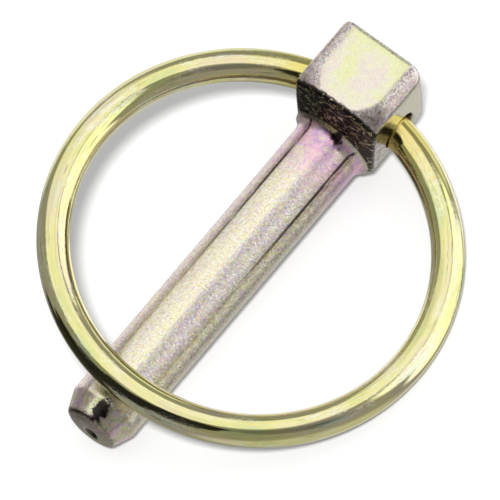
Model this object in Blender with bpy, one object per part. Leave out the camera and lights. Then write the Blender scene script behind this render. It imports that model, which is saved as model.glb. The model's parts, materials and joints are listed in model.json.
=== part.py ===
"""Lynch pin: a forged pin with a square head, and a round wire ring hinged in the head's cross hole.

Metres, +Z up. The pin is drawn in its own frame first: +X runs along the shank from the head to
the tip, the shank's axis is y = z = 0, x = 0 is where the shank leaves the head, and +Z is the
side that the closed ring lies on. The whole thing then lies on the ground as it comes to rest.
"""
import math

import bmesh
import bpy
from mathutils import Matrix, Vector

MM = 0.001

# Shank
SHANK_D = 9.5 * MM
SHANK_PAST_RING = 0.57 * MM  # from the closed ring's far side to where the tip begins to taper
TIP_LENGTH = 2.8 * MM
TIP_END_D = 7.2 * MM
TIP_DOME = 0.15 * MM  # how far the middle of the end stands proud of its rim
DIMPLE_D = 2.4 * MM
DIMPLE_DEPTH = 0.5 * MM
DIMPLE_OFFSET = Vector((0, 0.3 * MM, -0.9 * MM))  # from the shank's axis
FLARE_D = 11.5 * MM  # the shank's collar against the head
FLARE_LENGTH = 1.5 * MM
COLLAR_STAND = 0.15 * MM  # how far the collar's rim stands out of the head

# Head
HEAD_LENGTH = 11.7 * MM
HEAD_WIDTH = 12.8 * MM
HEAD_HEIGHT = 12.8 * MM
HEAD_RISE = 4.5 * MM  # the head's centre line above the shank's axis
SIDE_EDGE_R = 2.1 * MM
END_EDGE_R = 0.8 * MM
SHOULDER_TAPER = math.radians(12)  # the head's shank side leans back from the collar
SHOULDER_D = 23.4 * MM  # the round that the head's upper corners keep within
CROWN_R = 11.4 * MM  # and how that round is crowned towards the shank side
CROWN_LENGTH = 4.4 * MM
UPRIGHT_EDGE_R = 1.7 * MM  # between the shank side and the -Y side

# Ring
WIRE_D = 4.3 * MM
RING_D = 50.2 * MM  # through the middle of the wire
RING_MOUTH = 5.0 * MM  # between the wire's two ends, inside the cross hole
CONTACT_GAP = 0.3 * MM  # left between the closed ring and the shank

# Cross hole, drilled a little off square both ways
HOLE_BACK = 5.65 * MM  # from x = 0 back to the hole, at the head's middle
HOLE_RISE = 2.75 * MM  # above the shank's axis, at the head's middle
HOLE_YAW = math.radians(4.3)
HOLE_DIP = math.radians(7.1)
HOLE_CLEARANCE = 0.1 * MM

# Facets
TURNED_STEPS = 64
FLARE_STEPS = 5
CROWN_STEPS = 6
EDGE_STEPS = 4
WIRE_SIDES = 20
RING_STEPS = 96
HOLE_SIDES = 40

SHANK_R = SHANK_D / 2
FLARE_R = FLARE_D / 2
WIRE_R = WIRE_D / 2
RING_R = RING_D / 2

# The hole's axis runs from the -Y side face to the +Y side face.
HOLE_AXIS = Matrix.Rotation(-HOLE_DIP, 3, "X") @ Vector((-math.sin(HOLE_YAW), math.cos(HOLE_YAW), 0))
HINGE_POINT = Vector((-HOLE_BACK, 0, HOLE_RISE))
LIFT = Vector((1, 0, 0)).cross(HOLE_AXIS).normalized()
OUTWARD = HOLE_AXIS.cross(LIFT)

# The wire stays a true arc inside the hole, so the hole allows for the arc's rise and its slant.
HOLE_SKEW = math.acos(HOLE_AXIS.y)
HALF_BORE = (HEAD_WIDTH / 2 + WIRE_R * math.sin(HOLE_SKEW)) / math.cos(HOLE_SKEW)
CHORD_AT_FACE = math.sqrt(RING_R**2 - HALF_BORE**2)
CHORD_AT_MOUTH = math.sqrt(RING_R**2 - (RING_MOUTH / 2) ** 2)
RING_OFFSET = (CHORD_AT_FACE + CHORD_AT_MOUTH) / 2  # from the hinge to the ring's centre
ARC_RISE = (CHORD_AT_MOUTH - CHORD_AT_FACE) / 2
HOLE_R = WIRE_R * RING_R / CHORD_AT_FACE + ARC_RISE + HOLE_CLEARANCE

# Closed, the far side of the ring rests on the shank.
CLOSED_HEIGHT = SHANK_R + WIRE_R + CONTACT_GAP
CLOSED_ANGLE = math.asin((CLOSED_HEIGHT - HINGE_POINT.dot(LIFT)) / (RING_OFFSET + RING_R))
CLOSED_OUT = OUTWARD * math.cos(CLOSED_ANGLE) + LIFT * math.sin(CLOSED_ANGLE)
LANDING = HINGE_POINT + (RING_OFFSET + RING_R) * CLOSED_OUT

# The shank reaches past where the ring lands.
SHANK_LENGTH = LANDING.x + WIRE_R + SHANK_PAST_RING
TIP_X = SHANK_LENGTH + TIP_LENGTH


def clear_scene():
    for obj in list(bpy.data.objects):
        bpy.data.objects.remove(obj, do_unlink=True)


def metal(name, colour, roughness):
    material = bpy.data.materials.new(name)
    material.use_nodes = True
    shader = material.node_tree.nodes["Principled BSDF"]
    shader.inputs["Base Color"].default_value = (*colour, 1)
    shader.inputs["Metallic"].default_value = 1.0
    shader.inputs["Roughness"].default_value = roughness
    return material


def add_object(name, bm, parent, helper=False):
    """A named object from a bmesh. A helper only shapes another object."""
    bmesh.ops.recalc_face_normals(bm, faces=bm.faces)
    mesh = bpy.data.meshes.new(name)
    bm.to_mesh(mesh)
    bm.free()
    obj = bpy.data.objects.new(name, mesh)
    bpy.context.collection.objects.link(obj)
    obj.parent = parent
    if helper:
        obj.hide_render = True
        obj.display_type = "WIRE"
    else:
        mesh.shade_smooth()
        mesh.set_sharp_from_angle(angle=math.radians(35))
    return obj


def turned(outline):
    """A solid of revolution about X. The outline is (x, radius) points that start and end on the axis."""
    bm = bmesh.new()
    points = [bm.verts.new((x, 0, radius)) for x, radius in outline]
    edges = [bm.edges.new(pair) for pair in zip(points, points[1:])]
    bmesh.ops.spin(
        bm,
        geom=points + edges,
        cent=(0, 0, 0),
        axis=(1, 0, 0),
        angle=math.tau,
        steps=TURNED_STEPS,
        use_merge=True,
        use_duplicate=False,
    )
    bmesh.ops.remove_doubles(bm, verts=bm.verts, dist=1e-7)
    return bm


def head_block():
    """The square head, with rounded edges along its sides and round its end."""
    bm = bmesh.new()
    overlap = 1.0 * MM  # past x = 0, where the shoulder trims it
    size = (HEAD_LENGTH + overlap, HEAD_WIDTH, HEAD_HEIGHT)
    centre = Vector(((overlap - HEAD_LENGTH) / 2, 0, HEAD_RISE))
    bmesh.ops.create_cube(bm, size=1, matrix=Matrix.Translation(centre) @ Matrix.Diagonal((*size, 1)))

    def is_long(edge):
        a, b = edge.verts
        return abs(a.co.x - b.co.x) > HEAD_LENGTH / 2

    def is_at_end(edge):
        return all(vert.co.x < END_EDGE_R - HEAD_LENGTH for vert in edge.verts)

    for chosen, radius in ((is_long, SIDE_EDGE_R), (is_at_end, END_EDGE_R)):
        bmesh.ops.bevel(
            bm,
            geom=[edge for edge in bm.edges if chosen(edge)],
            offset=radius,
            offset_type="OFFSET",
            segments=EDGE_STEPS,
            profile=0.5,
            affect="EDGES",
            clamp_overlap=True,
            material=-1,
        )
    return bm


def shoulder_envelope():
    """The turned form that the head keeps within: a shallow cone on the shank side, then crowned corners."""
    shoulder_r = SHOULDER_D / 2
    cone_r = shoulder_r - CROWN_R + math.sqrt(CROWN_R**2 - CROWN_LENGTH**2)
    cone_x = -COLLAR_STAND - (cone_r - FLARE_R) * math.tan(SHOULDER_TAPER)
    crown_x = cone_x - CROWN_LENGTH
    back_x = -2 * HEAD_LENGTH
    outline = [(-COLLAR_STAND, 0), (-COLLAR_STAND, FLARE_R)]
    for step in range(CROWN_STEPS, -1, -1):
        along = CROWN_LENGTH * step / CROWN_STEPS
        outline.append((crown_x + along, shoulder_r - CROWN_R + math.sqrt(CROWN_R**2 - along**2)))
    outline += [(back_x, shoulder_r), (back_x, 0)]
    return turned(outline)


def upright_edge():
    """What rounding the upright edge between the shank side and the -Y side takes away."""
    beyond = 3 * MM
    side_y = -HEAD_WIDTH / 2
    centre = Vector((-COLLAR_STAND - UPRIGHT_EDGE_R, side_y + UPRIGHT_EDGE_R))
    outline = [(beyond, centre.y), (beyond, side_y - beyond), (centre.x, side_y - beyond)]
    for step in range(EDGE_STEPS + 1):
        turn = math.radians(90) * (step / EDGE_STEPS - 1)
        outline.append((centre.x + UPRIGHT_EDGE_R * math.cos(turn), centre.y + UPRIGHT_EDGE_R * math.sin(turn)))
    bm = bmesh.new()
    low_z = HEAD_RISE - HEAD_HEIGHT / 2 - beyond
    base = bm.faces.new([bm.verts.new((x, y, low_z)) for x, y in outline])
    raised = bmesh.ops.extrude_face_region(bm, geom=[base])["geom"]
    top = [item for item in raised if isinstance(item, bmesh.types.BMVert)]
    bmesh.ops.translate(bm, vec=(0, 0, HEAD_HEIGHT + 2 * beyond), verts=top)
    return bm


def shank():
    """The round shank with its collar, tapered tip and dimpled end, rooted inside the head."""
    root_x = -HEAD_LENGTH / 2
    outline = [(root_x, 0), (root_x, SHANK_R), (-2 * COLLAR_STAND - MM, FLARE_R), (0, FLARE_R)]
    rise = FLARE_R - SHANK_R
    fillet_r = (FLARE_LENGTH**2 + rise**2) / (2 * rise)
    for step in range(1, FLARE_STEPS + 1):
        x = FLARE_LENGTH * step / FLARE_STEPS
        drop = fillet_r - math.sqrt(fillet_r**2 - (FLARE_LENGTH - x) ** 2)
        outline.append((x, SHANK_R + drop))
    outline.append((SHANK_LENGTH, SHANK_R))
    outline.append((TIP_X, TIP_END_D / 2))
    outline.append((TIP_X + TIP_DOME, TIP_END_D / 4))
    outline.append((TIP_X + TIP_DOME, 0))
    return turned(outline)


def dimple():
    """The shallow cone left in the shank's end."""
    slope = DIMPLE_DEPTH / (DIMPLE_D / 2)
    beyond = MM
    end_x = TIP_X + TIP_DOME
    cone = turned([(end_x - DIMPLE_DEPTH, 0), (end_x + beyond, DIMPLE_D / 2 + beyond / slope), (end_x + beyond, 0)])
    bmesh.ops.translate(cone, vec=DIMPLE_OFFSET, verts=cone.verts)
    return cone


def cross_hole():
    bm = bmesh.new()
    along = HOLE_AXIS.to_track_quat("Z", "Y").to_matrix().to_4x4()
    bmesh.ops.create_cone(
        bm,
        cap_ends=True,
        segments=HOLE_SIDES,
        radius1=HOLE_R,
        radius2=HOLE_R,
        depth=2 * HEAD_WIDTH,
        matrix=Matrix.Translation(HINGE_POINT) @ along,
    )
    return bm


def ring_wire():
    """The wire, bent round the ring's centre with its two ends facing each other across the mouth.

    Drawn about the hinge: the hole's axis is Y and the ring's centre lies out along +X.
    """
    half_mouth = math.asin(RING_MOUTH / 2 / RING_R)
    centre = Vector((RING_OFFSET, 0, 0))
    start = centre + RING_R * Vector((-math.cos(half_mouth), -math.sin(half_mouth), 0))
    bm = bmesh.new()
    place = Matrix.Translation(start) @ Matrix.Rotation(half_mouth, 4, "Z") @ Matrix.Rotation(math.pi / 2, 4, "X")
    bmesh.ops.create_circle(bm, cap_ends=True, segments=WIRE_SIDES, radius=WIRE_R, matrix=place)
    first = list(bm.faces)
    bmesh.ops.spin(
        bm,
        geom=first,
        cent=centre,
        axis=(0, 0, 1),
        angle=math.tau - 2 * half_mouth,
        steps=RING_STEPS,
        use_merge=False,
        use_duplicate=False,
    )
    return bm


def boolean(target, operation, helper):
    modifier = target.modifiers.new(helper.name, "BOOLEAN")
    modifier.operation = operation
    modifier.solver = "EXACT"
    modifier.object = helper


def make_pin(rest):
    pin = add_object("pin", head_block(), rest)
    for operation, name, form in (
        ("INTERSECT", "shoulder_envelope", shoulder_envelope()),
        ("DIFFERENCE", "upright_edge_cutter", upright_edge()),
        ("UNION", "shank_form", shank()),
        ("DIFFERENCE", "cross_hole_cutter", cross_hole()),
        ("DIFFERENCE", "dimple_cutter", dimple()),
    ):
        boolean(pin, operation, add_object(name, form, rest, helper=True))
    pin.data.materials.append(metal("zinc_matt", (0.62, 0.58, 0.47), 0.42))
    return pin


def make_ring(rest):
    ring = add_object("ring", ring_wire(), rest)
    basis = Matrix((OUTWARD, HOLE_AXIS, LIFT)).transposed().to_4x4()
    ring.matrix_local = Matrix.Translation(HINGE_POINT) @ basis @ Matrix.Rotation(-CLOSED_ANGLE, 4, "Y")
    ring.data.materials.append(metal("zinc_bright", (0.66, 0.63, 0.38), 0.2))
    return ring


def resting_up():
    """The direction of up, in the pin's frame, when the collar, the tip's shoulder and the ring touch the ground."""
    dip = math.atan((FLARE_R - SHANK_R) / SHANK_LENGTH)
    ring_centre = HINGE_POINT + RING_OFFSET * CLOSED_OUT
    ring_normal = CLOSED_OUT.cross(HOLE_AXIS)

    def up_at(roll):
        across = Vector((0, -math.sin(roll), math.cos(roll)))
        return across * math.cos(dip) - Vector((math.sin(dip), 0, 0))

    def ring_above_collar(roll):
        up = up_at(roll)
        ring_low = ring_centre.dot(up) - RING_R * math.sqrt(1 - ring_normal.dot(up) ** 2) - WIRE_R
        return ring_low + FLARE_R * math.cos(dip)

    low, high = 0.0, math.radians(45)
    for _ in range(50):
        middle = (low + high) / 2
        if ring_above_collar(middle) > 0:
            low = middle
        else:
            high = middle
    return up_at(low)


def lay_down(rest):
    """Turns the whole pin so that it lies at rest along +X, with the origin at its box's bottom centre."""
    up = resting_up()
    forward = (Vector((1, 0, 0)) - up * up.x).normalized()
    turn = Matrix((forward, up.cross(forward), up))
    rest.matrix_world = turn.to_4x4()
    bpy.context.view_layer.update()
    graph = bpy.context.evaluated_depsgraph_get()
    corners = []
    for obj in bpy.data.objects:
        if obj.type == "MESH" and not obj.hide_render:
            shaped = obj.evaluated_get(graph)
            corners += [shaped.matrix_world @ vert.co for vert in shaped.data.vertices]
    low = Vector([min(corner[axis] for corner in corners) for axis in range(3)])
    high = Vector([max(corner[axis] for corner in corners) for axis in range(3)])
    rest.matrix_world = Matrix.Translation((-(low.x + high.x) / 2, -(low.y + high.y) / 2, -low.z)) @ turn.to_4x4()
    bpy.context.view_layer.update()


def main():
    clear_scene()
    rest = bpy.data.objects.new("at_rest", None)
    bpy.context.collection.objects.link(rest)
    make_pin(rest)
    make_ring(rest)
    lay_down(rest)


main()
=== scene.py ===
"""The finished lynch pin: a yellow zinc plated forging and its wire ring, lying on a pale floor."""

import json
import math

import bmesh
import bpy
from mathutils import Matrix, Vector


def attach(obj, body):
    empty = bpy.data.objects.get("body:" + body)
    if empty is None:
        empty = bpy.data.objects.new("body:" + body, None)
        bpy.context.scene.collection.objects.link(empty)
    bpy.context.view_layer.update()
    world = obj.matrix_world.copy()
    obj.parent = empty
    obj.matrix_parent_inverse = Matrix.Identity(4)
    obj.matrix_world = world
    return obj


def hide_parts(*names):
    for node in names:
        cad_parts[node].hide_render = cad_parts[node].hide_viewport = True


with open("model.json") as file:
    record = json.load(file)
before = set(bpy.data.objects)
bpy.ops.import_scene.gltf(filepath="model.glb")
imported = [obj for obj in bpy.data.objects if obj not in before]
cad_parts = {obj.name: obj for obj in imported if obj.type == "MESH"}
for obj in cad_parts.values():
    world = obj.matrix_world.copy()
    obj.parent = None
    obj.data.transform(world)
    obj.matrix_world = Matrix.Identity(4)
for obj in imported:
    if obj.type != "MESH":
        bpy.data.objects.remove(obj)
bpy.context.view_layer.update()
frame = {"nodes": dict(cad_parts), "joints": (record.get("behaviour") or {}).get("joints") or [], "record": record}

MM = 0.001

# The forging, in its own frame: +X along the shank from the head to the tip, +Z the side the ring lies on
SHANK_R = 4.75 * MM
SHANK_LENGTH = 46.4 * MM
TIP_X = 49.2 * MM
TIP_END_R = 3.6 * MM
TIP_DOME = 0.15 * MM
TIP_EDGE = 0.35 * MM
DIMPLE_R = 1.2 * MM
DIMPLE_DEPTH = 0.5 * MM
DIMPLE_OFFSET = Vector((0, 0.3, -0.9)) * MM
FLARE_R = 5.75 * MM
FLARE_LENGTH = 1.5 * MM
COLLAR_STAND = 0.15 * MM

HEAD_LENGTH = 11.7 * MM
HEAD_WIDTH = 12.8 * MM
HEAD_RISE = 4.5 * MM
HEAD_TOP = HEAD_RISE + HEAD_WIDTH / 2
SIDE_EDGE_R = 2.1 * MM
END_EDGE_R = 0.8 * MM
HEEL_R = 3.4 * MM  # the far edge on the side away from the ring
CORNER_R = 1.7 * MM  # the far upright edge on the +Y side
UPRIGHT_EDGE_R = 1.7 * MM
SHOULDER_TAPER = math.radians(12)
SHOULDER_R = 11.7 * MM
CROWN_R = 11.4 * MM
CROWN_LENGTH = 4.4 * MM

HOLE_R = 2.72 * MM
# Two thin dark reflection lines are painted along the shank at these turns
REFLECTION_LINE_TURNS = (-0.56, 0.88)  # radians round the shank from the side the ring lies on
VOXEL = 0.185 * MM
SMOOTHING = 3
TURNED_STEPS = 256

# The ring
WIRE_R = 2.15 * MM
RING_R = 25.1 * MM
RING_MOUTH = 5.0 * MM
WIRE_END_EDGE = 0.4 * MM
WIRE_FACETS = 56
RING_STEPS = 720

# The studio and the camera
DOME_LIGHT = 0.34
FLOOR_REACH = 3.0
KEY_STRENGTH = 3.9
KEY_ANGLE = math.radians(7)
VIEW = Vector((0.284, 0.272, 0.919)).normalized()  # towards the camera, in the forging's frame
VIEW_RIGHT = Vector((-0.621, 0.783, -0.040))
TARGET = Vector((16.2, -0.57, -4.8)) * MM
CAMERA_DISTANCE = 2.1
VIEW_WIDTH = 63.5 * MM
SENSOR = 36


def placed_by_mounts():
    """The matrix that lays the forging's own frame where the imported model's mounts put it."""
    mounts = {mount["name"]: mount for mount in frame["record"]["mounts"]}
    end = mounts["head_end"]
    along = -Vector(end["axis"]).normalized()
    up = Vector(mounts["head_face"]["axis"]).normalized()
    across = up.cross(along)
    origin = Vector(end["pos_m"]) + HEAD_LENGTH * along - HEAD_RISE * up
    return Matrix.Translation(origin) @ Matrix((along, across, up)).transposed().to_4x4()


LIE = placed_by_mounts()


def ring_place():
    """The matrix that lays the ring's own frame: Y along the cross hole, and +X out to the ring's centre."""
    joint = frame["joints"][0]
    hinge = Vector(joint["pos_m"])
    across = -Vector(joint["axis"]).normalized()
    points = [vert.co for vert in frame["nodes"]["ring"].data.vertices]
    reach = sum(points, Vector()) / len(points) - hinge
    out = (reach - reach.dot(across) * across).normalized()
    return Matrix.Translation(hinge) @ Matrix((out, across, out.cross(across))).transposed().to_4x4()


def new_object(name, bm):
    mesh = bpy.data.meshes.new(name)
    bm.to_mesh(mesh)
    bm.free()
    obj = bpy.data.objects.new(name, mesh)
    bpy.context.scene.collection.objects.link(obj)
    return obj


def turned(outline, steps):
    """A closed form turned about X from (x, radius) points that start and end on the axis."""
    bm = bmesh.new()
    points = [bm.verts.new((x, 0, radius)) for x, radius in outline]
    edges = [bm.edges.new(pair) for pair in zip(points, points[1:])]
    bmesh.ops.spin(
        bm, geom=points + edges, cent=(0, 0, 0), axis=(1, 0, 0), angle=math.tau,
        steps=steps, use_merge=True, use_duplicate=False,
    )
    bmesh.ops.remove_doubles(bm, verts=bm.verts, dist=1e-7)
    bmesh.ops.recalc_face_normals(bm, faces=bm.faces)
    return bm


def arc(centre, radius, start_deg, end_deg, steps):
    """Points along an arc in the plane, both ends included."""
    sweep = end_deg - start_deg
    turns = [math.radians(start_deg + sweep * index / steps) for index in range(steps + 1)]
    return [(centre[0] + radius * math.cos(turn), centre[1] + radius * math.sin(turn)) for turn in turns]


def head_block():
    """The square head before its shank side is shaped, with a weight on each edge for the bevel."""
    bm = bmesh.new()
    to_trim = 2 * MM
    size = (HEAD_LENGTH + to_trim, HEAD_WIDTH, HEAD_WIDTH)
    centre = Vector(((to_trim - HEAD_LENGTH) / 2, 0, HEAD_RISE))
    bmesh.ops.create_cube(bm, size=1, matrix=Matrix.Translation(centre) @ Matrix.Diagonal((*size, 1)))
    weight = bm.edges.layers.float.new("bevel_weight_edge")
    for edge in bm.edges:
        middle = (edge.verts[0].co + edge.verts[1].co) / 2
        runs_along = abs(edge.verts[0].co.x - edge.verts[1].co.x) > HEAD_LENGTH / 2
        at_end = middle.x < -HEAD_LENGTH + MM
        at_heel = at_end and middle.z < HEAD_RISE - HEAD_WIDTH / 2 + MM
        at_corner = at_end and middle.y > HEAD_WIDTH / 2 - MM
        if runs_along:
            edge[weight] = SIDE_EDGE_R / HEEL_R
        elif at_heel:
            edge[weight] = 1
        elif at_corner:
            edge[weight] = CORNER_R / HEEL_R
        elif at_end:
            edge[weight] = END_EDGE_R / HEEL_R
    return bm


def shoulder_envelope():
    """The turned form that the head keeps within, coned towards the shank and crowned at its corners."""
    cone_r = SHOULDER_R - CROWN_R + math.sqrt(CROWN_R**2 - CROWN_LENGTH**2)
    cone_x = -COLLAR_STAND - (cone_r - FLARE_R) * math.tan(SHOULDER_TAPER)
    crown_x = cone_x - CROWN_LENGTH
    lean = math.degrees(math.asin(CROWN_LENGTH / CROWN_R))
    outline = [(-COLLAR_STAND, 0), (-COLLAR_STAND, FLARE_R)]
    outline += arc((crown_x, SHOULDER_R - CROWN_R), CROWN_R, 90 - lean, 90, 24)
    outline += [(-2 * HEAD_LENGTH, SHOULDER_R), (-2 * HEAD_LENGTH, 0)]
    return turned(outline, TURNED_STEPS)


def upright_edge():
    """What rounding the upright edge on the -Y side takes away."""
    beyond = 3 * MM
    side_y = -HEAD_WIDTH / 2
    centre = (-COLLAR_STAND - UPRIGHT_EDGE_R, side_y + UPRIGHT_EDGE_R)
    outline = [(beyond, centre[1]), (beyond, side_y - beyond), (centre[0], side_y - beyond)]
    outline += arc(centre, UPRIGHT_EDGE_R, -90, 0, 16)
    bm = bmesh.new()
    low_z = HEAD_RISE - HEAD_WIDTH / 2 - beyond
    base = bm.faces.new([bm.verts.new((x, y, low_z)) for x, y in outline])
    raised = bmesh.ops.extrude_face_region(bm, geom=[base])["geom"]
    top = [item for item in raised if isinstance(item, bmesh.types.BMVert)]
    bmesh.ops.translate(bm, vec=(0, 0, HEAD_WIDTH + 2 * beyond), verts=top)
    bmesh.ops.recalc_face_normals(bm, faces=bm.faces)
    return bm


def shank():
    """The shank with its flared collar, and a tapered tip with a broken edge."""
    root_x = -HEAD_LENGTH / 2
    outline = [(root_x, 0), (root_x, SHANK_R), (-2 * COLLAR_STAND - MM, FLARE_R), (0, FLARE_R)]
    rise = FLARE_R - SHANK_R
    fillet_r = (FLARE_LENGTH**2 + rise**2) / (2 * rise)
    sweep = math.degrees(math.asin(FLARE_LENGTH / fillet_r))
    outline += arc((FLARE_LENGTH, SHANK_R + fillet_r), fillet_r, 270 - sweep, 270, 16)[1:]
    outline += [(SHANK_LENGTH, SHANK_R), (TIP_X - TIP_EDGE / 2, TIP_END_R + TIP_EDGE / 6)]
    outline += [(TIP_X, TIP_END_R - TIP_EDGE), (TIP_X + TIP_DOME, TIP_END_R / 2), (TIP_X + TIP_DOME, 0)]
    return turned(outline, TURNED_STEPS)


def dimple():
    beyond = MM
    end_x = TIP_X + TIP_DOME
    flare = DIMPLE_R / DIMPLE_DEPTH
    wide = (end_x + beyond, DIMPLE_R + beyond * flare)
    cone = turned([(end_x - DIMPLE_DEPTH, 0), wide, (end_x + beyond, 0)], TURNED_STEPS // 4)
    bmesh.ops.translate(cone, vec=DIMPLE_OFFSET, verts=cone.verts)
    return cone


def cross_hole():
    joint = frame["joints"][0]
    to_own = LIE.inverted()
    axis = to_own.to_3x3() @ Vector(joint["axis"])
    bm = bmesh.new()
    turn = axis.to_track_quat("Z", "Y").to_matrix().to_4x4()
    bmesh.ops.create_cone(
        bm, cap_ends=True, segments=96, radius1=HOLE_R, radius2=HOLE_R, depth=2 * HEAD_WIDTH,
        matrix=Matrix.Translation(to_own @ Vector(joint["pos_m"])) @ turn,
    )
    return bm


def applied(obj):
    """Replaces an object's mesh by what its modifiers make of it."""
    graph = bpy.context.evaluated_depsgraph_get()
    mesh = bpy.data.meshes.new_from_object(obj.evaluated_get(graph))
    obj.modifiers.clear()
    obj.data = mesh
    return obj


def make_forging():
    obj = new_object("forged_pin", head_block())
    rounded = obj.modifiers.new("rounded_edges", "BEVEL")
    rounded.width = HEEL_R
    rounded.limit_method = "WEIGHT"
    rounded.segments = 12
    helpers = []
    for operation, name, form in (
        ("INTERSECT", "shoulder_form", shoulder_envelope()),
        ("DIFFERENCE", "upright_edge_form", upright_edge()),
        ("UNION", "shank_form", shank()),
        ("DIFFERENCE", "hole_form", cross_hole()),
        ("DIFFERENCE", "dimple_form", dimple()),
    ):
        helper = new_object(name, form)
        helpers.append(helper)
        cut = obj.modifiers.new(name, "BOOLEAN")
        cut.operation = operation
        cut.solver = "EXACT"
        cut.object = helper
    skin = obj.modifiers.new("even_skin", "REMESH")
    skin.mode = "VOXEL"
    skin.voxel_size = VOXEL
    applied(obj)
    for helper in helpers:
        bpy.data.objects.remove(helper)
    bm = bmesh.new()
    bm.from_mesh(obj.data)
    for _ in range(SMOOTHING):
        bmesh.ops.smooth_vert(
            bm, verts=bm.verts, factor=0.5, use_axis_x=True, use_axis_y=True, use_axis_z=True,
        )
    bm.transform(LIE)
    bm.to_mesh(obj.data)
    bm.free()
    obj.data.shade_smooth()
    return obj


def make_ring():
    """The wire bent round to a ring, drawn in the ring's own frame and then laid in place.

    Each point also keeps its place on the straight wire, which the finish follows.
    """
    place = ring_place()
    half_mouth = math.asin(RING_MOUTH / 2 / RING_R)
    centre = Vector((ring_reach(place), 0, 0))
    start = centre + RING_R * Vector((-math.cos(half_mouth), -math.sin(half_mouth), 0))
    bm = bmesh.new()
    turn = Matrix.Rotation(half_mouth, 4, "Z") @ Matrix.Rotation(math.pi / 2, 4, "X")
    bmesh.ops.create_circle(
        bm, cap_ends=True, segments=WIRE_FACETS, radius=WIRE_R, matrix=Matrix.Translation(start) @ turn,
    )
    bmesh.ops.spin(
        bm, geom=list(bm.faces), cent=centre, axis=(0, 0, 1), angle=math.tau - 2 * half_mouth,
        steps=RING_STEPS, use_merge=False, use_duplicate=False,
    )
    caps = [face for face in bm.faces if len(face.verts) > 4]
    bmesh.ops.bevel(
        bm, geom=[edge for face in caps for edge in face.edges], offset=WIRE_END_EDGE, offset_type="OFFSET",
        segments=4, profile=0.5, affect="EDGES", material=-1,
    )
    bmesh.ops.recalc_face_normals(bm, faces=bm.faces)
    straight = bm.verts.layers.float_vector.new("straight")
    for vert in bm.verts:
        arm = vert.co - centre
        turn = math.atan2(arm.y, arm.x)
        vert[straight] = (turn * RING_R, math.hypot(arm.x, arm.y) - RING_R, arm.z)
    bm.transform(place)
    obj = new_object("wire_ring", bm)
    obj.data.shade_smooth()
    return obj


def ring_reach(place):
    """From the hinge to the ring's centre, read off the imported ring's far side."""
    to_own = place.inverted()
    far = max((to_own @ vert.co).x for vert in frame["nodes"]["ring"].data.vertices)
    return far - WIRE_R - RING_R


def put(tree, kind, inputs=(), **settings):
    """A new node with its settings, and its inputs set to values or linked to sockets."""
    node = tree.nodes.new(kind)
    for key, value in settings.items():
        setattr(node, key, value)
    for key, value in dict(inputs).items():
        if isinstance(value, bpy.types.NodeSocket):
            tree.links.new(value, node.inputs[key])
        else:
            node.inputs[key].default_value = value
    return node


def maths(tree, operation, first, second=0.0):
    return put(tree, "ShaderNodeMath", {0: first, 1: second}, operation=operation).outputs[0]


def step(tree, value, low, high, to_low=0.0, to_high=1.0):
    """A smooth step from to_low to to_high as the value goes from low to high."""
    inputs = {"Value": value, "From Min": low, "From Max": high, "To Min": to_low, "To Max": to_high}
    return put(tree, "ShaderNodeMapRange", inputs, interpolation_type="SMOOTHSTEP").outputs[0]


def blend(tree, factor, first, second, how="MIX"):
    """Goes from the first colour to the second."""
    inputs = {0: factor, 6: first, 7: second}
    return put(tree, "ShaderNodeMix", inputs, data_type="RGBA", blend_type=how).outputs[2]


def noise(tree, where, scale, detail=3.0, rough=0.5):
    inputs = {"Vector": where, "Scale": scale, "Detail": detail, "Roughness": rough}
    return put(tree, "ShaderNodeTexNoise", inputs).outputs[0]


def flecks(tree, where, scale):
    """A noise in colour, for flecks of different tints."""
    inputs = {"Vector": where, "Scale": scale, "Detail": 2.0, "Roughness": 0.6}
    soft = put(tree, "ShaderNodeTexNoise", inputs).outputs["Color"]
    return put(tree, "ShaderNodeBrightContrast", {"Color": soft, "Contrast": 1.2}).outputs[0]


def product(tree, *factors):
    result = factors[0]
    for factor in factors[1:]:
        result = maths(tree, "MULTIPLY", result, factor)
    return result


def total(tree, *parts):
    result = parts[0]
    for part in parts[1:]:
        result = maths(tree, "ADD", result, part)
    return result


def most(tree, *values):
    """The largest of the values."""
    result = values[0]
    for value in values[1:]:
        result = maths(tree, "MAXIMUM", result, value)
    return result


def rest_of(tree, value):
    """What the value leaves of 1."""
    return maths(tree, "SUBTRACT", 1.0, value)


def stretched(tree, where, scale):
    return put(tree, "ShaderNodeVectorMath", {0: where, 1: scale}, operation="MULTIPLY").outputs[0]


def ramp(tree, factor, stops):
    node = put(tree, "ShaderNodeValToRGB", {0: factor})
    colours = node.color_ramp.elements
    while len(colours) < len(stops):
        colours.new(1.0)
    for element, (position, colour) in zip(colours, stops):
        element.position = position
        element.color = (*colour, 1)
    return node.outputs[0]


def new_metal(name):
    material = bpy.data.materials.new(name)
    material.use_nodes = True
    shader = material.node_tree.nodes["Principled BSDF"]
    shader.inputs["Metallic"].default_value = 1.0
    return material, material.node_tree, shader


def finish(tree, shader, colour, rough, height, strength, depth):
    """Gives the shader its colour and roughness, and a bump of the given strength and depth."""
    bump = put(tree, "ShaderNodeBump", {"Strength": strength, "Distance": depth, "Height": height})
    tree.links.new(colour, shader.inputs["Base Color"])
    tree.links.new(rough, shader.inputs["Roughness"])
    tree.links.new(bump.outputs[0], shader.inputs["Normal"])


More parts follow.
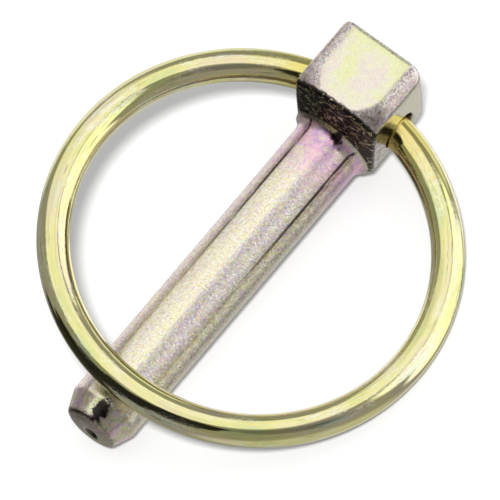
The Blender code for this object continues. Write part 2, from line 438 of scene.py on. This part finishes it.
def plated_wire():
    """Bright yellow zinc on drawn wire: lengthwise lines, olive and pink tints, and worn silvery streaks."""
    material, tree, shader = new_metal("plated_wire")
    place = put(tree, "ShaderNodeAttribute", attribute_name="straight").outputs["Vector"]
    in_mm = stretched(tree, place, (1 / MM, 1 / MM, 1 / MM))

    def wire_noise(along, across, detail, rough=0.5, scale=1.0):
        """A noise drawn out along the wire."""
        return noise(tree, stretched(tree, in_mm, (along, across, across)), scale, detail, rough)

    colour = ramp(tree, wire_noise(0.09, 0.45, 3), [
        (0.32, (0.63, 0.68, 0.32)),
        (0.42, (0.74, 0.71, 0.30)),
        (0.54, (0.79, 0.74, 0.40)),
        (0.62, (0.77, 0.67, 0.43)),
        (0.70, (0.68, 0.74, 0.50)),
    ])
    # Worn silvery streaks
    wear_place = wire_noise(0.13, 0.8, 3, 0.6)
    speckle = wire_noise(1.6, 3.6, 3, 0.7)
    wear = product(tree, step(tree, wear_place, 0.50, 0.60), step(tree, speckle, 0.44, 0.56))
    colour = blend(tree, product(tree, wear, 0.7), colour, (0.88, 0.86, 0.68, 1))
    # A deeper yellow towards the two ends, by the cross hole
    along, _, _ = put(tree, "ShaderNodeSeparateXYZ", {0: in_mm}).outputs
    by_hole = step(tree, maths(tree, "ABSOLUTE", along), 60.0, 74.0)
    colour = blend(tree, product(tree, by_hole, 0.7), colour, (0.76, 0.63, 0.12, 1))
    # Drawing lines
    lines = wire_noise(0.10, 4.5, 4, 0.6)
    colour = blend(tree, step(tree, lines, 0.54, 0.66, 0.0, 0.35), colour, (0.42, 0.38, 0.20, 1))
    # Dark scratches, long and thin
    scratch = step(tree, wire_noise(0.22, 7.0, 3, 0.55), 0.60, 0.66)
    scratched = product(tree, scratch, step(tree, wire_noise(0.12, 0.5, 2, scale=1.3), 0.48, 0.58))
    colour = blend(tree, product(tree, scratched, 0.75), colour, (0.20, 0.18, 0.11, 1))
    colour = blend(tree, 0.12, colour, flecks(tree, stretched(tree, in_mm, (1.0, 3.0, 3.0)), 1.0), "OVERLAY")
    rough = total(tree, step(tree, lines, 0.3, 0.7, 0.04, 0.10), product(tree, wear, 0.12))
    pitted = product(tree, speckle, step(tree, wear_place, 0.36, 0.56, 0.10, 0.45))
    height = total(tree, product(tree, lines, 0.2), product(tree, wear, 0.6), pitted)
    height = maths(tree, "SUBTRACT", height, product(tree, scratched, 0.4))
    finish(tree, shader, colour, rough, height, 0.3, 0.02 * MM)
    return material


def reaches(tree, value, surface, start, full):
    """0 while the value is more than `start` short of the surface, and 1 from `full` short of it."""
    return step(tree, value, surface - start, surface - full)


def forging_zones(tree):
    """Where each surface of the forging is, as factors from 0 to 1, and its own place in millimetres."""
    inverse = LIE.inverted()
    mapping = put(tree, "ShaderNodeMapping", {
        "Vector": put(tree, "ShaderNodeTexCoord").outputs["Object"],
        "Location": inverse.translation / MM,
        "Rotation": inverse.to_euler(),
        "Scale": (1 / MM, 1 / MM, 1 / MM),
    })
    place = mapping.outputs[0]
    x, y, z = put(tree, "ShaderNodeSeparateXYZ", {0: place}).outputs
    ragged = maths(tree, "SUBTRACT", noise(tree, place, 1.4, 5, 0.75), 0.5)
    ragged_edge = product(tree, ragged, 0.3)
    on_shank = step(tree, x, 0.0, 0.4)
    on_head = step(tree, x, 0.0, -0.2)
    # The coned bearing face: how far past the cone that starts at the collar's rim
    distance = maths(tree, "SQRT", total(tree, product(tree, y, y), product(tree, z, z)))
    past_rim = maths(tree, "SUBTRACT", distance, FLARE_R / MM)
    lean = total(tree, x, product(tree, past_rim, math.tan(SHOULDER_TAPER)), product(tree, ragged, 0.8))
    bearing = product(tree, step(tree, lean, -0.75, -0.45), on_head)
    # The face that the ring lies on, and its rounded rim
    ragged_z = total(tree, z, product(tree, ragged, 0.5))
    face = reaches(tree, ragged_z, HEAD_TOP / MM, 0.22, 0.06)
    rim = product(tree, reaches(tree, ragged_z, HEAD_TOP / MM, 0.8, 0.3), rest_of(tree, face), on_head)
    # The plain sides, far end and underside
    sideways = total(tree, maths(tree, "ABSOLUTE", y), ragged_edge)
    hole_side = product(tree, reaches(tree, sideways, HEAD_WIDTH / 2 / MM, 0.25, 0.07), on_head)
    far_end = reaches(tree, total(tree, x, ragged_edge), -HEAD_LENGTH / MM, -0.3, -0.1)
    under = reaches(tree, total(tree, z, ragged_edge), (HEAD_TOP - HEAD_WIDTH) / MM, -0.25, -0.07)
    plain = most(tree, hole_side, far_end, product(tree, under, on_head))
    edges = maths(tree, "SUBTRACT", on_head, most(tree, face, bearing, plain))
    return {
        "place": place,
        "x": x,
        "around": maths(tree, "ARCTAN2", y, z),
        "ragged": ragged,
        "shank": on_shank,
        "bearing": bearing,
        "bearing_middle": step(tree, lean, -0.45, -0.28),
        "face": face,
        "rim": rim,
        "plain": plain,
        "edges": most(tree, edges, 0.0),
        "tip": reaches(tree, x, SHANK_LENGTH / MM, 0.2, -0.1),
        "end": reaches(tree, x, TIP_X / MM, 0.25, 0.1),
        "flare": product(tree, on_shank, step(tree, x, 11.0, 1.5)),
    }


def spot(tree, zone, centre, size, soft=0.35):
    """A ragged spot on the forging: 1 inside, 0 beyond its size."""
    away = put(tree, "ShaderNodeVectorMath", {0: zone["place"], 1: centre}, operation="SUBTRACT").outputs[0]
    flat = put(tree, "ShaderNodeVectorMath", {0: away, 1: size}, operation="DIVIDE").outputs[0]
    length = put(tree, "ShaderNodeVectorMath", {0: flat}, operation="LENGTH").outputs["Value"]
    length = total(tree, length, product(tree, zone["ragged"], 3.2))
    return step(tree, length, 1.0 + soft / 2, 1.0 - soft / 2)


def shank_tints_and_highlight(tree, zone):
    """Lengthwise bands round the shank: pink, olive and lilac tints as they run in the plating, and a cream band
    painted in as a highlight.
    """
    turn = total(tree, zone["around"], product(tree, zone["ragged"], 0.14))
    share = total(tree, product(tree, turn, 1 / math.tau), 0.5)
    return ramp(tree, share, [
        (0.00, (0.62, 0.57, 0.47)),
        (0.26, (0.62, 0.57, 0.47)),
        (0.31, (0.72, 0.55, 0.56)),
        (0.40, (0.74, 0.57, 0.57)),
        # A cream band painted in along the shank as a highlight
        (0.42, (0.86, 0.80, 0.64)),
        (0.525, (0.96, 0.91, 0.62)),
        (0.537, (0.68, 0.60, 0.61)),
        (0.63, (0.70, 0.61, 0.62)),
        (0.645, (0.60, 0.55, 0.41)),
        (0.80, (0.60, 0.55, 0.41)),
        (0.84, (0.62, 0.57, 0.47)),
    ])


def head_colour(tree, zone, colour, coarse, grain):
    """The head's tints over the colour: mottled edges, olive and pink sides, and the pale face."""
    # The head's rounded edges are mottled mauve and silver
    mottle = ramp(tree, coarse, [
        (0.36, (0.34, 0.27, 0.26)),
        (0.44, (0.62, 0.52, 0.51)),
        (0.56, (0.69, 0.56, 0.56)),
        (0.63, (0.92, 0.88, 0.84)),
    ])
    colour = blend(tree, zone["edges"], colour, mottle)
    # The face that the ring lies on is the palest, and yellower towards the far end
    outwards = product(tree, total(tree, zone["x"], 6.0), -0.022)
    pale = ramp(tree, total(tree, noise(tree, zone["place"], 0.3, 4, 0.6), outwards), [
        (0.42, (0.80, 0.71, 0.63)),
        (0.50, (0.80, 0.76, 0.60)),
        (0.60, (0.77, 0.79, 0.45)),
    ])
    colour = blend(tree, zone["face"], colour, pale)
    # The plain sides are olive and pink, and mottled dark mauve towards the shank
    side = ramp(tree, noise(tree, zone["place"], 0.3, 3), [
        (0.42, (0.68, 0.65, 0.45)),
        (0.52, (0.70, 0.62, 0.54)),
        (0.60, (0.58, 0.60, 0.44)),
    ])
    colour = blend(tree, zone["plain"], colour, side)
    near_shank = step(tree, total(tree, zone["x"], product(tree, zone["ragged"], 3.0)), -5.2, -3.6)
    dark_mottle = ramp(tree, coarse, [
        (0.38, (0.20, 0.15, 0.15)),
        (0.50, (0.40, 0.33, 0.31)),
        (0.62, (0.62, 0.55, 0.50)),
    ])
    colour = blend(tree, product(tree, near_shank, zone["plain"], 0.85), colour, dark_mottle)
    rubbed = blend(tree, step(tree, grain, 0.46, 0.54), (0.42, 0.34, 0.34, 1), (1.0, 0.97, 0.92, 1))
    return blend(tree, product(tree, zone["rim"], 0.55), colour, rubbed)


def tip_colour(tree, zone, colour, coarse):
    """The tip's mauve and green over the colour, its darker end and the end's dark rim."""
    tint = ramp(tree, noise(tree, zone["place"], 0.5, 3), [
        (0.40, (0.62, 0.42, 0.52)),
        (0.47, (0.70, 0.56, 0.53)),
        (0.51, (0.60, 0.50, 0.40)),
        (0.55, (0.50, 0.58, 0.24)),
        (0.63, (0.52, 0.40, 0.34)),
    ])
    colour = blend(tree, product(tree, zone["tip"], 0.85), colour, tint)
    colour = blend(tree, product(tree, zone["end"], 0.65), colour, (0.42, 0.36, 0.25, 1))
    end_rim = product(tree, step(tree, zone["x"], 48.7, 48.95), step(tree, zone["x"], 49.2, 49.0))
    patchy = step(tree, coarse, 0.60, 0.45)
    return blend(tree, product(tree, end_rim, patchy, 0.7), colour, (0.12, 0.10, 0.10, 1))


def grained(tree, zone, colour, grain):
    """Flecks of gold and lilac and the grain's light and dark, faint where the plating is smooth."""
    place = zone["place"]
    smooth = most(
        tree, product(tree, zone["face"], 0.7), product(tree, zone["flare"], 0.75),
        product(tree, zone["plain"], 0.93), product(tree, most(tree, zone["edges"], zone["tip"]), 0.5),
    )
    rub = rest_of(tree, smooth)
    colour = blend(tree, product(tree, rub, 0.36), colour, flecks(tree, place, 2.6), "OVERLAY")
    gold = step(tree, noise(tree, place, 1.9, 4, 0.7), 0.52, 0.59)
    colour = blend(tree, product(tree, gold, rub, 0.6), colour, (0.88, 0.81, 0.38, 1))
    lilac = step(tree, noise(tree, stretched(tree, place, (1.0, 1.0, -1.0)), 1.7, 4, 0.7), 0.54, 0.61)
    colour = blend(tree, product(tree, lilac, rub, 0.4), colour, (0.70, 0.58, 0.74, 1))
    bright, dark = step(tree, grain, 0.52, 0.62), step(tree, grain, 0.45, 0.35)
    colour = blend(tree, product(tree, bright, rub, 0.55), colour, (0.98, 0.96, 0.90, 1))
    return blend(tree, product(tree, dark, rub, 0.32), colour, (0.26, 0.21, 0.20, 1))


def marked(tree, zone, colour):
    """Marks over the colour: the bearing face painted dark as shade with pale ridges, black spots with a painted
    dark reflection on the tip, a painted highlight, and the dimple's painted shade and highlight.
    """
    place = zone["place"]
    # The bearing face is painted nearly black as the shade it sits in, with thin pale ridges
    ridge_noise = noise(tree, stretched(tree, place, (0.5, 0.55, 1.1)), 0.9, 2, 0.5)
    off_ridge = maths(tree, "ABSOLUTE", maths(tree, "SUBTRACT", ridge_noise, 0.5))
    ridges = product(tree, step(tree, off_ridge, 0.022, 0.006), zone["bearing_middle"])
    bearing_shade_colour = blend(tree, ridges, (0.06, 0.045, 0.04, 1), (0.95, 0.85, 0.50, 1))
    colour = blend(tree, zone["bearing"], colour, bearing_shade_colour)
    # Black spots: on the tip a painted dark reflection, and one where the shank meets the head
    black = most(
        tree, spot(tree, zone, (47.6, 0.7, 4.3), (1.5, 0.95, 1.5)),
        spot(tree, zone, (0.65, 1.55, 5.0), (0.9, 0.85, 1.0)),
    )
    colour = blend(tree, product(tree, black, 0.95), colour, (0.015, 0.012, 0.012, 1))
    # A pale green painted highlight beside the tip's black spot
    painted_gleam = product(tree, spot(tree, zone, (47.9, -0.5, 4.2), (1.2, 0.5, 1.3)), rest_of(tree, black))
    colour = blend(tree, product(tree, painted_gleam, 0.8), colour, (0.92, 0.98, 0.62, 1))
    # The dimple in the end is painted dark inside as shade, with a painted highlight on its lip
    dimple_at = (Vector((TIP_X + TIP_DOME, 0, 0)) + DIMPLE_OFFSET) / MM
    off = put(tree, "ShaderNodeVectorMath", {0: place, 1: dimple_at}, operation="DISTANCE").outputs["Value"]
    colour = blend(tree, product(tree, step(tree, off, 1.5, 1.2), 0.6), colour, (0.80, 0.74, 0.55, 1))
    return blend(tree, product(tree, step(tree, off, 1.15, 0.85), 0.9), colour, (0.05, 0.04, 0.03, 1))


def reflection_line_mask(tree, zone, streaks):
    """Two thin lines along the shank, painted dark as reflections, strongest by the head and broken by the
    streaks.
    """
    fade = product(
        tree, zone["shank"], step(tree, zone["x"], 30.0, 10.0, 0.25, 1.0),
        step(tree, streaks, 0.36, 0.46, 0.2, 1.0),
    )
    lines = []
    for turn in REFLECTION_LINE_TURNS:
        off = maths(tree, "ABSOLUTE", maths(tree, "SUBTRACT", zone["around"], turn))
        off = total(tree, off, product(tree, zone["ragged"], 0.04))
        lines.append(product(tree, step(tree, off, 0.06, 0.03), fade))
    return most(tree, *lines)


def plated_forging():
    """Duller yellow zinc over a grainy forging, with pink, violet and green in the plating."""
    material, tree, shader = new_metal("plated_forging")
    zone = forging_zones(tree)
    place = zone["place"]
    grain = noise(tree, place, 3.4, 2, 0.6)
    coarse = noise(tree, place, 1.3, 5, 0.65)
    broad = noise(tree, stretched(tree, place, (0.25, 0.5, 0.5)), 1.0, 3, 0.55)
    streaks = noise(tree, stretched(tree, place, (0.15, 2.4, 2.4)), 1.0, 4, 0.6)
    tints = ramp(tree, broad, [
        (0.34, (0.70, 0.68, 0.38)),
        (0.46, (0.64, 0.58, 0.50)),
        (0.55, (0.64, 0.52, 0.54)),
        (0.66, (0.60, 0.62, 0.52)),
    ])
    colour = blend(tree, 0.35, shank_tints_and_highlight(tree, zone), tints)
    # Pink and violet by the collar
    violet = ramp(tree, noise(tree, place, 0.4, 2), [
        (0.42, (0.84, 0.50, 0.62)),
        (0.50, (0.62, 0.37, 0.66)),
        (0.58, (0.78, 0.62, 0.56)),
    ])
    colour = blend(tree, product(tree, zone["flare"], 0.9), colour, violet)
    colour = tip_colour(tree, zone, colour, coarse)
    colour = head_colour(tree, zone, colour, coarse, grain)
    colour = grained(tree, zone, colour, grain)
    colour = marked(tree, zone, colour)
    reflection_lines_and_creases = reflection_line_mask(tree, zone, streaks)
    # The lines are painted near black, standing in for dark reflections
    colour = blend(tree, product(tree, reflection_lines_and_creases, 0.92), colour, (0.05, 0.035, 0.03, 1))
    plain = zone["plain"]
    rough = maths(tree, "SUBTRACT", step(tree, coarse, 0.3, 0.7, 0.22, 0.36), product(tree, plain, 0.14))
    height = total(tree, product(tree, grain, 0.7), product(tree, coarse, 0.9), product(tree, streaks, 0.4))
    height = product(tree, height, rest_of(tree, product(tree, plain, 0.7)))
    # The same lines are also pressed in as shallow creases
    height = maths(tree, "SUBTRACT", height, product(tree, reflection_lines_and_creases, 1.2))
    finish(tree, shader, colour, rough, height, 0.7, 0.04 * MM)
    return material


def heading(turn_deg, rise_deg):
    """The direction at a turn from +X and a rise above the ground."""
    turn, rise = math.radians(turn_deg), math.radians(rise_deg)
    return (math.cos(rise) * math.cos(turn), math.cos(rise) * math.sin(turn), math.sin(rise))


def make_studio():
    """Soft boxes and dark flags round the pin, as patches on a dim dome."""
    # Turn and rise of the middle, inner and outer edge, all in degrees, and brightness
    patches = [
        (-125, 80, 35, 41, 1.15),
        (135, 24, 25, 30, 1.4),
        (135, -14, 25, 30, 1.4),
        (-122, -18, 22, 34, 1.0),
        (-112, 46, 16, 26, 1.0),
        (-172, -36, 12, 22, 1.3),
        (160, -74, 16, 26, 0.7),
        (-177, 3, 15, 20, 0.95),
        (55, -46, 24, 42, 0.62),
        (76, 40, 12, 18, 0.20),
        (41, 49, 10, 12, 0.02),
        (28, 40, 14, 16, 0.02),
        (22, 26, 10, 12, 0.03),
        (8, 32, 15, 17, 0.02),
        (-11, 17, 17, 19, 0.02),
        (-29, 1, 19, 22, 0.02),
        (-44, -25, 17, 20, 0.03),
        (-54, -44, 10, 15, 0.05),
    ]
    world = bpy.data.worlds.new("studio")
    bpy.context.scene.world = world
    world.use_nodes = True
    tree = world.node_tree
    direction = put(tree, "ShaderNodeTexCoord").outputs["Generated"]
    light = DOME_LIGHT
    for turn, rise, inner, outer, brightness in patches:
        towards = {0: direction, 1: heading(turn, rise)}
        dot = put(tree, "ShaderNodeVectorMath", towards, operation="DOT_PRODUCT").outputs["Value"]
        angle = maths(tree, "ARCCOSINE", dot)
        inside = step(tree, angle, math.radians(outer), math.radians(inner))
        light = put(tree, "ShaderNodeMix", {0: inside, 2: light, 3: brightness}).outputs[0]
    seen = put(tree, "ShaderNodeLightPath").outputs["Is Camera Ray"]
    strength = put(tree, "ShaderNodeMix", {0: seen, 2: light, 3: 1.0}).outputs[0]
    tree.links.new(strength, tree.nodes["Background"].inputs["Strength"])
    tree.nodes["Background"].inputs["Color"].default_value = (1, 1, 1, 1)


def make_floor():
    bm = bmesh.new()
    bmesh.ops.create_grid(bm, x_segments=1, y_segments=1, size=FLOOR_REACH)
    floor = new_object("floor", bm)
    material = bpy.data.materials.new("pale_floor")
    material.use_nodes = True
    shader = material.node_tree.nodes["Principled BSDF"]
    shader.inputs["Base Color"].default_value = (0.55, 0.55, 0.55, 1)
    shader.inputs["Roughness"].default_value = 1.0
    shader.inputs["Specular IOR Level"].default_value = 0.0
    shader.inputs["Emission Color"].default_value = (1, 1, 1, 1)
    shader.inputs["Emission Strength"].default_value = 0.12
    floor.data.materials.append(material)
    floor.visible_glossy = False


def make_camera():
    right = (VIEW_RIGHT - VIEW_RIGHT.dot(VIEW) * VIEW).normalized()
    turn = Matrix((right, VIEW.cross(right), VIEW)).transposed().to_4x4()
    data = bpy.data.cameras.new("camera")
    data.sensor_width = SENSOR
    data.lens = SENSOR * CAMERA_DISTANCE / VIEW_WIDTH
    camera = bpy.data.objects.new("camera", data)
    camera.matrix_world = LIE @ Matrix.Translation(TARGET + CAMERA_DISTANCE * VIEW) @ turn
    bpy.context.scene.collection.objects.link(camera)
    bpy.context.scene.camera = camera


def make_key():
    """A soft key over the camera's left shoulder that draws the shadow; the metals don't mirror it."""
    data = bpy.data.lights.new("key", "SUN")
    data.energy = KEY_STRENGTH
    data.angle = KEY_ANGLE
    key = bpy.data.objects.new("key", data)
    right = LIE.to_3x3() @ VIEW_RIGHT
    view = LIE.to_3x3() @ VIEW
    up = view.cross(right)
    towards = (view - 0.06 * right + 0.09 * up).normalized()
    key.rotation_euler = towards.to_track_quat("Z", "Y").to_euler()
    key.visible_glossy = False
    bpy.context.scene.collection.objects.link(key)


def main():
    forging = make_forging()
    forging.data.materials.append(plated_forging())
    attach(forging, "pin")
    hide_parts("pin")
    ring = make_ring()
    ring.data.materials.append(plated_wire())
    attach(ring, "ring")
    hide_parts("ring")
    make_studio()
    make_floor()
    make_key()
    make_camera()
    bpy.context.scene.view_settings.view_transform = "Standard"


main()
